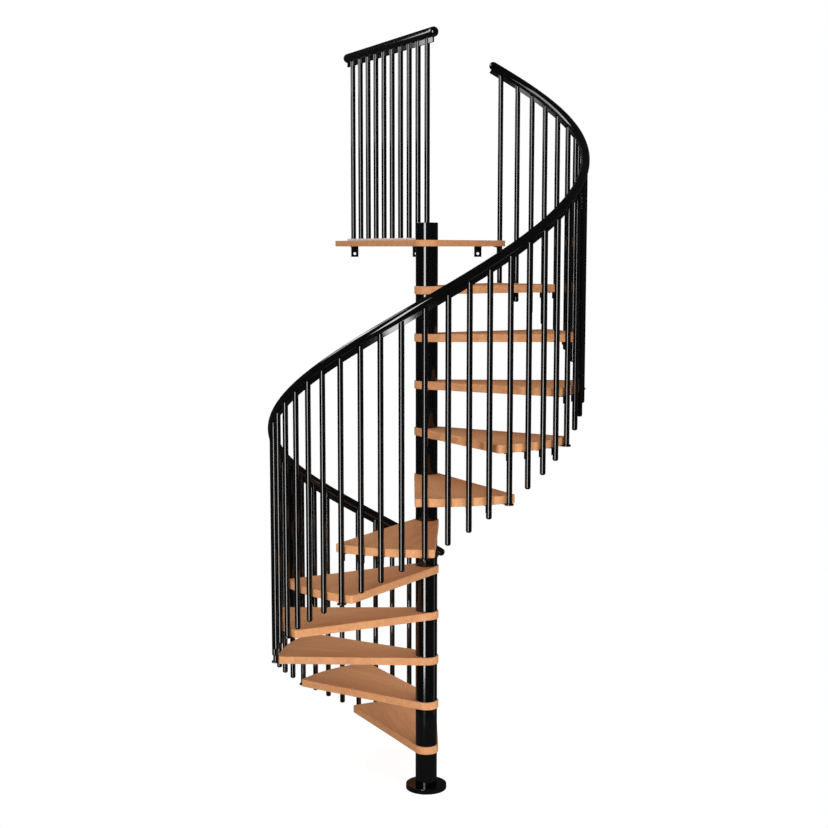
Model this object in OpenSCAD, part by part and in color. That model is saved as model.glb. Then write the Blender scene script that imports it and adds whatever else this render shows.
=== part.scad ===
// Spiral staircase of the modular kind: a steel column of stacked spacer tubes, wedge-shaped wooden
// treads threaded on a centre pole, a wooden landing, and a balustrade of round bars that carries a
// handrail on a flat steel band. The origin is the centre of the base flange on the floor, +Z is up.
// The stair climbs counter-clockwise seen from above. All sizes are in millimetres.

/* [Flight] */
// Height from one tread to the next
rise = 216; // [190:1:235]
// Number of treads below the landing
tread_count = 11; // [8:1:13]
// Turn from one tread to the next, in degrees
tread_turn = 30; // [27:0.5:32]
// Direction of the first baluster, in degrees counter-clockwise from +X
start_angle = 89.4; // [80:0.1:100]

/* [Treads] */
// Radius of the treads' curved outer edge
tread_radius = 694; // [600:1:760]
// Thickness of a tread
tread_t = 36; // [30:1:45]
// Splay of each straight side from the tread's centre line, in degrees
tread_splay = 13.8; // [12:0.1:15]
// Radius of the rounded outer corners
tread_corner_r = 10; // [6:1:30]
// Width by which the rounded hub end shows round the column
hub_lip = 6.2; // [3:0.1:14]

/* [Column] */
// Outside diameter of the spacer tubes
column_d = 101.6; // [90:0.1:106]
// Wall of the spacer tubes
column_wall = 4; // [3:0.5:6]
// Diameter of the centre pole inside the spacers
pole_d = 48.3; // [40:0.1:60]
// Diameter of the base flange
flange_d = 192; // [150:1:240]
// Thickness of the base flange
flange_t = 24; // [16:1:30]
// Bevel on the flange's upper edge
flange_bevel = 3; // [1:0.5:6]
// Thickness of the flange under the pole's socket
socket_floor = 6; // [4:1:10]
// Height of the column post above the landing
post_h = 78; // [50:1:150]
// Thickness of the post's closed top
post_top_t = 6; // [3:1:10]

/* [Balustrade] */
// Gap between the treads' outer edge and the balusters
baluster_gap = 3.5; // [3:0.5:12]
// Diameter of a baluster
baluster_d = 25; // [18:0.5:28]
// Bevel on the free lower end of a baluster
baluster_bevel = 4; // [1:0.5:6]
// Turn between the three inner balusters of a tread, in degrees
baluster_turn = 7.2; // [6.5:0.1:7.5]
// Height of the handrail's axis above the pitch line
rail_height = 1032; // [900:1:1150]
// Diameter of the handrail
rail_d = 40; // [36:1:50]
// Turn by which the handrail runs on past the first baluster, in degrees
rail_run_low = 5.4; // [3:0.1:8]
// Turn by which the handrail runs on past the last baluster, in degrees
rail_run_high = 3.4; // [3:0.1:8]

/* [Band] */
// Thickness of the flat band under the handrails
band_t = 8; // [5:0.5:10]
// Depth to which the band is let into a handrail
band_let_in = 10; // [6:1:14]
// Height of the band that shows under the handrail
band_show = 18; // [12:1:30]
// Height of the band that shows under the landing handrail
landing_band_show = 22; // [12:1:30]

/* [Clips and feet] */
// Thickness of the clips' steel
clip_t = 3; // [2:0.5:5]
// Width of a clip
clip_w = 18; // [12:1:24]
// Length of a clip's leg under the tread
clip_leg = 36; // [25:1:60]
// Length of a clip's leg along the baluster
clip_drop = 32; // [20:1:45]
// Thickness of the foot plates under the treads
foot_t = 4; // [3:0.5:6]
// Height of a foot's flared collar above the tread's underside
collar_h = 6; // [3:0.5:12]
// Height of the upright rim below the collar's flare
collar_rim = 3; // [2:0.5:6]
// Width by which the collar shows round its baluster
collar_lip = 7; // [4:0.5:12]
// Width of a foot plate's tongue under the tread
foot_w = 20; // [14:1:24]
// Length of a foot plate's tongue
foot_tongue = 56; // [40:1:80]
// Diameter of the first baluster's floor foot
floor_foot_d = 60; // [40:1:80]

/* [Landing] */
// Thickness of the landing
landing_t = 29; // [24:1:40]
// Distance from the column's axis to the back edge
landing_depth = 970; // [820:1:1100]
// Direction of the left-hand edge and its balustrade, in degrees counter-clockwise from +X
landing_angle = 114.8; // [108:0.1:118]
// Distance of the left-hand edge outside the column's axis
landing_left = 25; // [10:1:50]

/* [Landing brackets] */
// Distance between the brackets
bracket_pitch = 320; // [200:1:330]
// Place of the middle bracket along the back edge
bracket_middle = -55; // [-80:1:-30]
// Width of a bracket
bracket_w = 38; // [30:1:60]
// Thickness of a bracket's steel
bracket_t = 5; // [4:0.5:8]
// Length of a bracket's leg under the landing
bracket_leg = 50; // [40:1:80]
// Length of a bracket's leg below the landing
bracket_drop = 54; // [50:1:80]
// Diameter of a bracket's hole
bracket_hole_d = 14; // [9:0.5:16]
// Distance of the hole from the bracket's lower end
bracket_hole_end = 17; // [12:1:22]

/* [Landing balustrade] */
// Number of balusters on the landing
landing_balusters_n = 10; // [6:1:10]
// Distance between them
landing_pitch = 100; // [80:1:100]
// Distance of their row inside the column's axis
landing_row = 33; // [30:1:60]
// Gap between the column and the first one, along the row
landing_row_gap = 6.5; // [5:0.5:30]
// Height of the landing handrail's axis above the landing
landing_rail_height = 925; // [850:1:1100]
// Diameter of the landing handrail
landing_rail_d = 46; // [40:1:50]
// Length by which the landing handrail runs on past its end balusters
landing_rail_run = 66; // [40:1:80]
// Thickness of the base strip
strip_t = 10; // [6:1:14]
// Width of the base strip
strip_w = 26; // [20:1:30]
// Length by which the base strip runs on past the first one, towards the column
strip_run = 20; // [12:1:22]
// Length by which the base strip runs on past the last one
strip_run_far = 55; // [20:1:70]

/* [Hidden] */
// Gap between pieces that fit together
clear = 0.4;
// Turn of one straight piece of the handrail's sweep, in degrees
sweep_turn = 3;
// Straight pieces of the large and the small arcs in an outline
arc_steps_large = 24;
arc_steps_small = 6;
// Straight pieces round the handrail
rail_sides = 16;
// Length by which a cut runs past what it cuts
past = 1;
// Sides of the round solids
$fn = 64;

paint = "#161616";
oak = "#c58a5c";
pale_metal = "#d8d8d6";

hub_r = column_d / 2 + hub_lip;
baluster_r = baluster_d / 2;
baluster_radius = tread_radius + baluster_gap + baluster_r;
collar_r = baluster_r + collar_lip;
bore_d = pole_d + 2 * clear;
spacer_len = rise - tread_t;
landing_z = tread_count * rise + spacer_len;
landing_top_z = landing_z + landing_t;
per_tread = 4;
last_baluster = tread_count * per_tread;
end_angle = start_angle + tread_turn * tread_count;
// The landing's right-hand edge keeps the same gap to the last baluster
landing_right = baluster_radius * cos(end_angle) - baluster_r - baluster_gap;

// Slope of the handrail along its own circle
rail_slope = atan(rise / (baluster_radius * tread_turn * PI / 180));
rail_from = start_angle - rail_run_low;
rail_to = end_angle + rail_run_high;
rail_steps = ceil((rail_to - rail_from) / sweep_turn);
rail_r = rail_d / 2;
landing_rail_r = landing_rail_d / 2;
slot_w = band_t + 2 * clear;

// Place of a tread's corner circle, in the tread's own frame
corner_reach = tread_radius - tread_corner_r;
corner_angle = tread_splay + asin((hub_r - tread_corner_r) / corner_reach);
side_normal = 90 + tread_splay;

landing_row_start = column_d / 2 + baluster_r + landing_row_gap;
landing_row_len = (landing_balusters_n - 1) * landing_pitch;
landing_rail_z = landing_top_z + landing_rail_height;

function two_digits(i) = str(i < 10 ? "0" : "", i);
function polar(r, a) = r * [cos(a), sin(a)];
function arc(centre, r, from, to, steps) =
    [for (i = [0:steps]) centre + polar(r, from + (to - from) * i / steps)];

// Column

module base_flange() {
    color(paint) difference() {
        rotate_extrude() polygon([
            [0, 0], [flange_d / 2, 0], [flange_d / 2, flange_t - flange_bevel],
            [flange_d / 2 - flange_bevel, flange_t], [0, flange_t]]);
        translate([0, 0, socket_floor]) cylinder(d = bore_d, h = flange_t);
    }
}

module centre_pole() {
    color(paint) translate([0, 0, socket_floor])
        cylinder(d = pole_d, h = landing_top_z + post_h - post_top_t - socket_floor);
}

module tube(d, wall, len) {
    difference() {
        cylinder(d = d, h = len);
        translate([0, 0, -past]) cylinder(d = d - 2 * wall, h = len + 2 * past);
    }
}

// One spacer from the flange to the first tread, and one on each tread
module column_spacers() {
    color(paint) {
        translate([0, 0, flange_t]) tube(column_d, column_wall, spacer_len - flange_t);
        for (i = [1:tread_count]) translate([0, 0, i * rise]) tube(column_d, column_wall, spacer_len);
    }
}

module column_post() {
    color(paint) translate([0, 0, landing_top_z]) difference() {
        cylinder(d = column_d, h = post_h);
        translate([0, 0, -past]) cylinder(d = column_d - 2 * column_wall, h = post_h - post_top_t + past);
    }
}

// Treads

// Outline of a tread along +X: curved outer edge, rounded corners, sides tangent to the round hub
function tread_outline() = concat(
    arc([0, 0], tread_radius, -corner_angle, corner_angle, arc_steps_large),
    arc(polar(corner_reach, corner_angle), tread_corner_r, corner_angle, side_normal, arc_steps_small),
    arc([0, 0], hub_r, side_normal, 360 - side_normal, arc_steps_large),
    arc(polar(corner_reach, -corner_angle), tread_corner_r, -side_normal, -corner_angle, arc_steps_small));

module tread(i) {
    color(oak) translate([0, 0, i * rise - tread_t]) rotate(start_angle + tread_turn * (i - 0.5))
        linear_extrude(tread_t) difference() {
            polygon(tread_outline());
            circle(d = bore_d);
        }
}

// Landing

// Outline of the landing: round hub, front edge and corner as on a tread, a short stretch of the
// curved edge, then straight right-hand, back and left-hand edges
function landing_outline() = let (
        turn = end_angle + tread_turn / 2,
        corner = turn - corner_angle,
        curve_end = end_angle - end_angle % 360 + acos(landing_right / tread_radius),
        left_normal = landing_angle + 90,
        left_meet = left_normal - acos(landing_left / hub_r),
        left_back = (landing_left - landing_depth * sin(left_normal)) / cos(left_normal))
    concat(
        arc([0, 0], hub_r, left_meet, turn - side_normal, arc_steps_large),
        arc(polar(corner_reach, corner), tread_corner_r, turn - side_normal, corner, arc_steps_small),
        arc([0, 0], tread_radius, corner, curve_end, arc_steps_small),
        [[landing_right, landing_depth], [left_back, landing_depth]]);

module landing() {
    color(oak) translate([0, 0, landing_z]) linear_extrude(landing_t) difference() {
        polygon(landing_outline());
        circle(d = bore_d);
    }
}

// Steel angle with one bolt hole, its upright leg flush with the landing's back edge
module landing_bracket() {
    difference() {
        union() {
            translate([-bracket_w / 2, -bracket_t, -bracket_drop])
                cube([bracket_w, bracket_t, bracket_drop]);
            translate([-bracket_w / 2, -bracket_leg, -bracket_t])
                cube([bracket_w, bracket_leg, bracket_t]);
        }
        translate([0, past, bracket_hole_end - bracket_drop]) rotate([90, 0, 0])
            cylinder(d = bracket_hole_d, h = bracket_t + 2 * past);
    }
}

module landing_brackets() {
    color(paint) for (side = [-1:1])
        translate([bracket_middle + side * bracket_pitch, landing_depth, landing_z]) landing_bracket();
}

// Spiral balustrade

// Direction of baluster k: every fourth stands where two treads overlap, three more between them
function baluster_angle(k) = let (i = floor(k / per_tread), q = k % per_tread)
    start_angle + tread_turn * i + (q == 0 ? 0 : tread_turn / 2 + (q - 2) * baluster_turn);

// Height of the line through the treads' front edges, in a given direction
function pitch_z(a) = rise * (a - start_angle) / tread_turn;

// Every fourth baluster stands on a foot, the first one on the floor; the others hang free
function on_foot(k) = k % per_tread == 0;
function baluster_z(k) = k == 0 ? foot_t
    : pitch_z(baluster_angle(k)) - tread_t + (on_foot(k) ? collar_h : 0);

// Frame at a place on the baluster circle: X outwards, Y forwards up the stair, Z up
module on_circle(a, z) {
    rotate(a) translate([baluster_radius, 0, z]) children();
}

// Round bar with its top cut along the handrail and slotted over the band
module baluster(k) {
    a = baluster_angle(k);
    top = pitch_z(a) + rail_height;
    len = top - baluster_z(k);
    end = on_foot(k) ? [[baluster_r, 0]] : [[baluster_r - baluster_bevel, 0], [baluster_r, baluster_bevel]];
    on_circle(a, 0) difference() {
        translate([0, 0, baluster_z(k)]) rotate_extrude()
            polygon(concat([[0, 0]], end, [[baluster_r, len], [0, len]]));
        translate([0, 0, top]) rotate([rail_slope, 0, 0]) {
            translate([-baluster_d, -baluster_d, -rail_r - clear])
                cube([2 * baluster_d, 2 * baluster_d, rail_d + baluster_d]);
            translate([-slot_w / 2, -baluster_d, -rail_r - band_show - clear])
                cube([slot_w, 2 * baluster_d, rail_d]);
        }
    }
}

module tread_balusters(i) {
    color(paint) for (q = [0:per_tread - 1]) baluster((i - 1) * per_tread + q);
}

module end_baluster() {
    color(paint) baluster(last_baluster);
}

// Steel angle under the tread's edge, its upright leg against the inner side of a baluster
module baluster_clip(k) {
    tread_index = floor(k / per_tread) + 1;
    under = tread_index > tread_count ? landing_z : tread_index * rise - tread_t;
    face = -baluster_r - clear;
    on_circle(baluster_angle(k), under) {
        translate([face - clip_t, -clip_w / 2, -clip_drop]) cube([clip_t, clip_w, clip_drop]);
        translate([face - clip_leg, -clip_w / 2, -clip_t]) cube([clip_leg, clip_w, clip_t]);
    }
}

module baluster_clips() {
    color(paint) for (k = [0:last_baluster]) baluster_clip(k);
}

// Plate under the rear corner of a tread, with a flared collar outside the edge for a baluster
module baluster_foot(k) {
    under = baluster_z(k) - collar_h;
    a = baluster_angle(k);
    on_circle(a, under - foot_t) linear_extrude(foot_t) {
        circle(collar_r);
        translate([-foot_tongue, -foot_w / 2]) square([foot_tongue, foot_w]);
    }
    difference() {
        on_circle(a, under) rotate_extrude() polygon([
            [0, 0], [collar_r, 0], [collar_r, collar_rim], [baluster_r, collar_h], [0, collar_h]]);
        translate([0, 0, under - past]) cylinder(r = tread_radius + clear, h = collar_h + 2 * past);
    }
}

module baluster_feet() {
    color(paint) {
        on_circle(baluster_angle(0), 0) cylinder(d = floor_foot_d, h = foot_t);
        for (i = [1:tread_count]) baluster_foot(i * per_tread);
    }
}

// Handrail and its band

// Point on the handrail's section at sweep direction a: u outwards, v square to the rail
function rail_point(a, uv) = let (
        along = -uv[1] * sin(rail_slope),
        r = baluster_radius + uv[0])
    [r * cos(a) - along * sin(a), r * sin(a) + along * cos(a),
     pitch_z(a) + rail_height + uv[1] * cos(rail_slope)];

// Solid swept along the handrail's helix from a section drawn counter-clockwise
module sweep_along_rail(section) {
    n = len(section);
    points = [for (s = [0:rail_steps], uv = section)
        rail_point(rail_from + (rail_to - rail_from) * s / rail_steps, uv)];
    lower = [for (s = [0:rail_steps - 1], j = [0:n - 1]) [s * n + j, (s + 1) * n + j, s * n + (j + 1) % n]];
    upper = [for (s = [0:rail_steps - 1], j = [0:n - 1])
        [(s + 1) * n + j, (s + 1) * n + (j + 1) % n, s * n + (j + 1) % n]];
    polyhedron(points, concat(lower, upper,
        [[for (j = [0:n - 1]) j]],
        [[for (j = [n - 1:-1:0]) rail_steps * n + j]]));
}

// Round section with a groove in its underside for the band
function rail_section() = let (
        half = slot_w / 2,
        lip = asin(half / rail_r),
        groove_v = -rail_r + band_let_in)
    concat(arc([0, 0], rail_r, -90 + lip, 270 - lip, rail_sides), [[-half, groove_v], [half, groove_v]]);

function band_section() = let (
        half = band_t / 2,
        top = -rail_r + band_let_in - clear,
        bottom = -rail_r - band_show)
    [[-half, bottom], [half, bottom], [half, top], [-half, top]];

module handrail() {
    color(paint) sweep_along_rail(rail_section());
}

module handrail_band() {
    color(paint) sweep_along_rail(band_section());
}

module dome(r) {
    rotate_extrude() intersection() {
        circle(r);
        square(r + past);
    }
}

module handrail_caps() {
    color(paint) {
        on_circle(rail_from, pitch_z(rail_from) + rail_height) rotate([90 + rail_slope, 0, 0]) dome(rail_r);
        on_circle(rail_to, pitch_z(rail_to) + rail_height) rotate([rail_slope - 90, 0, 0]) dome(rail_r);
    }
}

// Landing balustrade

// Frame on the balustrade's row: X along the row from the column outwards, Z up
module on_row(along, z) {
    rotate(landing_angle) translate([along, -landing_row, z]) children();
}

module landing_strip() {
    color(pale_metal) on_row(landing_row_start - strip_run, landing_top_z)
        translate([0, -strip_w / 2, 0]) cube([strip_run + landing_row_len + strip_run_far, strip_w, strip_t]);
}

module landing_balusters() {
    bottom = landing_top_z + strip_t;
    len = landing_rail_z - landing_rail_r - clear - bottom;
    slot = landing_band_show + clear;
    color(paint) for (i = [0:landing_balusters_n - 1])
        on_row(landing_row_start + i * landing_pitch, bottom) difference() {
            cylinder(d = baluster_d, h = len);
            translate([-baluster_d, -slot_w / 2, len - slot]) cube([2 * baluster_d, slot_w, slot + past]);
        }
}

// The rail and its band run on past the end balusters by the same length
module landing_band() {
    bottom = -landing_rail_r - landing_band_show;
    top = -landing_rail_r + band_let_in - clear;
    color(paint) on_row(landing_row_start - landing_rail_run, landing_rail_z)
        translate([0, -band_t / 2, bottom])
            cube([landing_row_len + 2 * landing_rail_run, band_t, top - bottom]);
}

module landing_handrail() {
    len = landing_row_len + 2 * landing_rail_run;
    color(paint) on_row(landing_row_start - landing_rail_run, landing_rail_z) difference() {
        rotate([0, 90, 0]) cylinder(r = landing_rail_r, h = len);
        translate([-past, -slot_w / 2, -landing_rail_r - past])
            cube([len + 2 * past, slot_w, band_let_in + past]);
    }
}

module landing_handrail_caps() {
    color(paint) {
        on_row(landing_row_start - landing_rail_run, landing_rail_z)
            rotate([0, -90, 0]) dome(landing_rail_r);
        on_row(landing_row_start + landing_row_len + landing_rail_run, landing_rail_z)
            rotate([0, 90, 0]) dome(landing_rail_r);
    }
}

base_flange();
centre_pole();
column_spacers();
column_post();
for (i = [1:tread_count]) {
    tread(i);
    tread_balusters(i);
}
landing();
landing_brackets();
end_baluster();
baluster_clips();
baluster_feet();
handrail();
handrail_band();
handrail_caps();
landing_strip();
landing_balusters();
landing_band();
landing_handrail();
landing_handrail_caps();
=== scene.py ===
import math

import bmesh
import bpy
from mathutils import Matrix, Vector


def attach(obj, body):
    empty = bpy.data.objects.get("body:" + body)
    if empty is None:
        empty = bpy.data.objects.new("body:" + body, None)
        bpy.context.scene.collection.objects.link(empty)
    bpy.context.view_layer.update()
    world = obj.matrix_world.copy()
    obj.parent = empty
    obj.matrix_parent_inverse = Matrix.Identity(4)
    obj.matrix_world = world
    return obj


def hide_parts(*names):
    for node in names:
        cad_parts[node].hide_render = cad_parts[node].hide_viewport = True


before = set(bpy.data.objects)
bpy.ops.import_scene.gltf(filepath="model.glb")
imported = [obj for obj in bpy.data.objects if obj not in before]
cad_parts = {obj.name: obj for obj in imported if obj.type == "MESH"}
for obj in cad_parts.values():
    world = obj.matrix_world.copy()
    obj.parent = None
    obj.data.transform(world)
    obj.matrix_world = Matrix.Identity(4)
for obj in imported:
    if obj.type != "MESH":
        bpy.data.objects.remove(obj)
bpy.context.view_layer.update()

# Sizes of the staircase as it was constructed, in metres and degrees

# Climb: height and turn of a step, direction of the first bar, treads, bars to a tread
RISE = 0.216
TURN = 30.0
START = 89.4
TREADS = 11
PER_TREAD = 4

# Treads: reach, thickness, splay of each side, rounding of the outer corners
TREAD_R = 0.694
TREAD_T = 0.036
TREAD_SPLAY = 13.8
CORNER_R = 0.010

# Column: tubes, the wood's round about them, the pole's bore, the short post on top
COLUMN_R = 0.0508
COLUMN_WALL = 0.004
HUB_R = 0.057
BORE_R = 0.02455
POST_H = 0.078
POST_TOP = 0.006

# Base flange and the floor of its socket
FLANGE_R = 0.096
FLANGE_T = 0.024
FLANGE_BEVEL = 0.003
SOCKET_FLOOR = 0.006

# Landing: thickness, back edge, direction of the slanted left edge and its distance from the axis
LANDING_T = 0.029
LANDING_DEPTH = 0.970
LANDING_ANGLE = 114.8
LANDING_LEFT = 0.025

# Brackets under the landing's back edge, and the hole in each
BRACKET_W = 0.038
BRACKET_T = 0.005
BRACKET_LEG = 0.050
BRACKET_DROP = 0.054
BRACKET_MIDDLE = -0.055
BRACKET_PITCH = 0.320
HOLE_R = 0.007
HOLE_END = 0.017

# Bars of the spiral: radius, gap to the tread's edge, turn between those on one tread
BAR_R = 0.0125
BAR_GAP = 0.0035
BAR_TURN = 7.2

# Spiral rail: height over the climb, radius, directions of its two ends
RAIL_H = 1.032
RAIL_R = 0.020
RAIL_FROM = 84.0
RAIL_TO = 422.8

# Band under a rail: thickness, depth in the rail, height that shows below the spiral one
BAND_T = 0.008
BAND_IN = 0.010
BAND_SHOW = 0.018

# Clips that hold the bars under the treads
CLIP_T = 0.003
CLIP_W = 0.018
CLIP_LEG = 0.036
CLIP_DROP = 0.032

# Feet of the bars between two treads, and of the first bar on the floor
FOOT_T = 0.004
FOOT_W = 0.020
FOOT_TONGUE = 0.056
COLLAR_R = 0.0195
COLLAR_H = 0.006
COLLAR_RIM = 0.003
FLOOR_FOOT_R = 0.030

# Row of bars on the landing: number, spacing, first bar's place along the row, distance from the axis
ROW_BARS = 10
ROW_PITCH = 0.100
ROW_START = 0.0698
ROW_IN = 0.033

# Rail of the row: height over the landing, radius, run past the outer bars, band below it
ROW_RAIL_H = 0.925
ROW_RAIL_R = 0.023
ROW_RAIL_RUN = 0.066
ROW_BAND_SHOW = 0.022

# Strip under the row: section, run past the first and the last bar
STRIP_T = 0.010
STRIP_W = 0.026
STRIP_RUN = 0.020
STRIP_RUN_FAR = 0.055

# Gap between pieces that slide together
CLEAR = 0.0004

BAR_CIRCLE = TREAD_R + BAR_GAP + BAR_R
TUBE_IN = COLUMN_R - COLUMN_WALL
LANDING_Z = (TREADS + 1) * RISE - TREAD_T
LANDING_TOP = LANDING_Z + LANDING_T
END_ANGLE = START + TREADS * TURN
LANDING_RIGHT = BAR_CIRCLE * math.cos(math.radians(END_ANGLE)) - BAR_R - BAR_GAP
SLOPE = math.atan(RISE / (BAR_CIRCLE * math.radians(TURN)))
CORNER_REACH = TREAD_R - CORNER_R
CORNER_ANGLE = TREAD_SPLAY + math.degrees(math.asin((HUB_R - CORNER_R) / CORNER_REACH))
SIDE_NORMAL = 90 + TREAD_SPLAY

# Finer finish than the construction has: edges, ends, and the inside of bends
EASE = 0.003
BAR_BEVEL = 0.008
RIM_ROUND = 0.002
TONGUE_ROUND = 0.003
FLANGE_EASE = 0.001
STRIP_EASE = 0.001
STEEL_EASE = 0.0008
PLATE_EASE = 0.0006
FINE_EASE = 0.0005
BRACKET_BEND = 0.002
CLIP_BEND = 0.001

# Places of the screws: in from the end of a clip and down its leg, in from the bars' circle on a
# foot, in from the landing's back edge and to each side of a bracket's middle
CLIP_SCREW_IN = 0.012
CLIP_SCREW_DOWN = 0.0192
FOOT_SCREWS_IN = (0.030, 0.046)
BRACKET_SCREW_IN = 0.031
BRACKET_SCREW_SIDE = 0.009

# Places in the wood that the boards are cut from, so that no two look alike
TREAD_GRAIN = 1.71
LANDING_GRAIN = 0.53
GRAIN_DRIFT = 0.37

# How finely round shapes are drawn
EASE_STEPS = 4
ARC_STEPS = 64
CORNER_STEPS = 8
BORE_SIDES = 48
COLUMN_SIDES = 96
HOLE_SIDES = 32
BAR_SIDES = 28
BAR_END_STEPS = 5
RAIL_STEPS = 240
RAIL_SIDES = 44
CAP_STEPS = 14
FOOT_STEPS = 28
COLLAR_SIDES = 40
FLOOR_FOOT_SIDES = 64
TREAD_EDGE_SIDES = 360
SCREW_SIDES = 12

# Fold in degrees from which an edge shows
SHARP_FOLD = 40


def tint(code):
    """Linear colour of an sRGB hex code"""
    channels = [int(code[i:i + 2], 16) / 255 for i in (1, 3, 5)]
    return [c / 12.92 if c <= 0.04045 else ((c + 0.055) / 1.055) ** 2.4 for c in channels] + [1.0]


def add(tree, kind, inputs=None, **settings):
    """Node of a tree with its settings, its constants and what is linked into it"""
    node = tree.nodes.new(kind)
    for key, value in settings.items():
        setattr(node, key, value)
    for key, value in (inputs or {}).items():
        if isinstance(value, bpy.types.NodeSocket):
            tree.links.new(value, node.inputs[key])
        else:
            node.inputs[key].default_value = value
    return node


def polar(r, a):
    """Point of the plane at radius r and a degrees"""
    return Vector((r * math.cos(math.radians(a)), r * math.sin(math.radians(a))))


def arc(centre, r, start, end, steps):
    """Points of an arc, both ends included"""
    return [Vector(centre) + polar(r, start + (end - start) * i / steps) for i in range(steps + 1)]


# Materials


def new_material(name):
    """Material with an empty node tree"""
    material = bpy.data.materials.new(name)
    material.use_nodes = True
    tree = material.node_tree
    tree.nodes.clear()
    return material, tree


def lacquered_oak():
    """Oak staves glued side by side: long soft grain, short dark pores, each stave a little
    lighter or darker, under a satin lacquer"""
    material, tree = new_material("oak_satin_lacquer")
    stave_w, stave_l = 0.042, 0.430
    place = add(tree, "ShaderNodeAttribute", attribute_name="stave").outputs["Vector"]
    axes = add(tree, "ShaderNodeSeparateXYZ", {0: place}).outputs
    across = add(tree, "ShaderNodeMath", {0: axes["Y"], 1: stave_w}, operation="DIVIDE").outputs[0]
    row = add(tree, "ShaderNodeMath", {0: across}, operation="FLOOR").outputs[0]
    shift = add(tree, "ShaderNodeTexWhiteNoise", {"W": row}, noise_dimensions="1D").outputs["Value"]
    along = add(tree, "ShaderNodeMath", {0: axes["X"], 1: 1 / stave_l, 2: shift},
                operation="MULTIPLY_ADD").outputs[0]
    length = add(tree, "ShaderNodeMath", {0: along}, operation="FLOOR").outputs[0]
    stave = add(tree, "ShaderNodeCombineXYZ", {"X": row, "Y": length}).outputs[0]
    chance = add(tree, "ShaderNodeTexWhiteNoise", {"Vector": stave}, noise_dimensions="3D").outputs
    moved = add(tree, "ShaderNodeVectorMath", {0: chance["Color"], 1: (3.0, 0.7, 0.9), 2: place},
                operation="MULTIPLY_ADD").outputs[0]
    # Growth rings run 2 to 8 mm apart and change slowly along a stave
    rings_at = add(tree, "ShaderNodeVectorMath", {0: moved, 1: (3.5, 110.0, 60.0)},
                   operation="MULTIPLY").outputs[0]
    rings = add(tree, "ShaderNodeTexNoise", {"Vector": rings_at, "Scale": 1.0, "Detail": 4.0,
                                             "Roughness": 0.6, "Distortion": 0.4}).outputs[0]
    # Pores are drawn three times as wide as real ones, which would be too fine to show
    pores_at = add(tree, "ShaderNodeVectorMath", {0: moved, 1: (45.0, 1100.0, 700.0)},
                   operation="MULTIPLY").outputs[0]
    pores = add(tree, "ShaderNodeTexNoise", {"Vector": pores_at, "Scale": 1.0, "Detail": 1.0}).outputs[0]
    pore = add(tree, "ShaderNodeMapRange", {"Value": pores, "From Min": 0.58, "From Max": 0.70}).outputs[0]
    wood = add(tree, "ShaderNodeValToRGB", {0: rings})
    early, late = wood.color_ramp.elements
    early.position, early.color = 0.28, tint("#CE8F60")
    late.position, late.color = 0.72, tint("#E0A474")
    tone = add(tree, "ShaderNodeMapRange", {"Value": chance["Value"], "To Min": 0.95,
                                            "To Max": 1.04}).outputs[0]
    toned = add(tree, "ShaderNodeMix", {0: 1.0, 6: wood.outputs[0], 7: tone}, data_type="RGBA",
                blend_type="MULTIPLY").outputs[2]
    pored = add(tree, "ShaderNodeMath", {0: pore, 1: 0.32}, operation="MULTIPLY").outputs[0]
    grained = add(tree, "ShaderNodeMix", {0: pored, 6: toned, 7: tint("#6E4424")},
                  data_type="RGBA").outputs[2]
    # Glue lines between the staves, drawn 0.8 mm wide
    line_half, line_depth = 0.0004, 0.35
    side = add(tree, "ShaderNodeMath", {0: across, 1: 1.0}, operation="PINGPONG").outputs[0]
    end = add(tree, "ShaderNodeMath", {0: along, 1: 1.0}, operation="PINGPONG").outputs[0]
    side_line, end_line = (
        add(tree, "ShaderNodeMapRange", {"Value": near, "From Min": 0.0, "From Max": line_half / size,
                                         "To Min": line_depth, "To Max": 0.0}).outputs[0]
        for near, size in ((side, stave_w), (end, stave_l)))
    line = add(tree, "ShaderNodeMath", {0: side_line, 1: end_line}, operation="MAXIMUM").outputs[0]
    glued = add(tree, "ShaderNodeMix", {0: line, 6: grained, 7: tint("#7A4E2C")},
                data_type="RGBA").outputs[2]
    sheen = add(tree, "ShaderNodeMapRange", {"Value": rings, "To Min": 0.50, "To Max": 0.40}).outputs[0]
    bump = add(tree, "ShaderNodeBump", {"Height": pore, "Strength": 0.15, "Distance": 0.0002},
               invert=True).outputs[0]
    surface = add(tree, "ShaderNodeBsdfPrincipled", {"Base Color": glued, "Roughness": sheen,
                                                     "Normal": bump, "IOR": 1.5,
                                                     "Specular IOR Level": 0.12})
    add(tree, "ShaderNodeOutputMaterial", {"Surface": surface.outputs[0]})
    return material


def black_coat(name, roughness):
    """Deep black skin of paint or plastic: a glossy one shows sharp streaks, a satin one soft pale
    patches, and a faint waviness keeps both from being dead straight"""
    material, tree = new_material(name)
    place = add(tree, "ShaderNodeTexCoord").outputs["Object"]
    cloud = add(tree, "ShaderNodeTexNoise", {"Vector": place, "Scale": 14.0, "Detail": 2.0}).outputs[0]
    gloss = add(tree, "ShaderNodeMapRange", {"Value": cloud, "From Min": 0.3, "From Max": 0.7,
                                             "To Min": roughness * 0.9,
                                             "To Max": roughness * 1.1}).outputs[0]
    # Orange peel of a sprayed or moulded skin, waves about 3 mm long
    wave = add(tree, "ShaderNodeTexNoise", {"Vector": place, "Scale": 330.0, "Detail": 1.0}).outputs[0]
    bump = add(tree, "ShaderNodeBump", {"Height": wave, "Strength": 0.003, "Distance": 0.00002}).outputs[0]
    surface = add(tree, "ShaderNodeBsdfPrincipled", {"Base Color": tint("#040404"), "Roughness": gloss,
                                                     "Normal": bump, "IOR": 1.5,
                                                     "Specular IOR Level": 0.85})
    add(tree, "ShaderNodeOutputMaterial", {"Surface": surface.outputs[0]})
    return material


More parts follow.
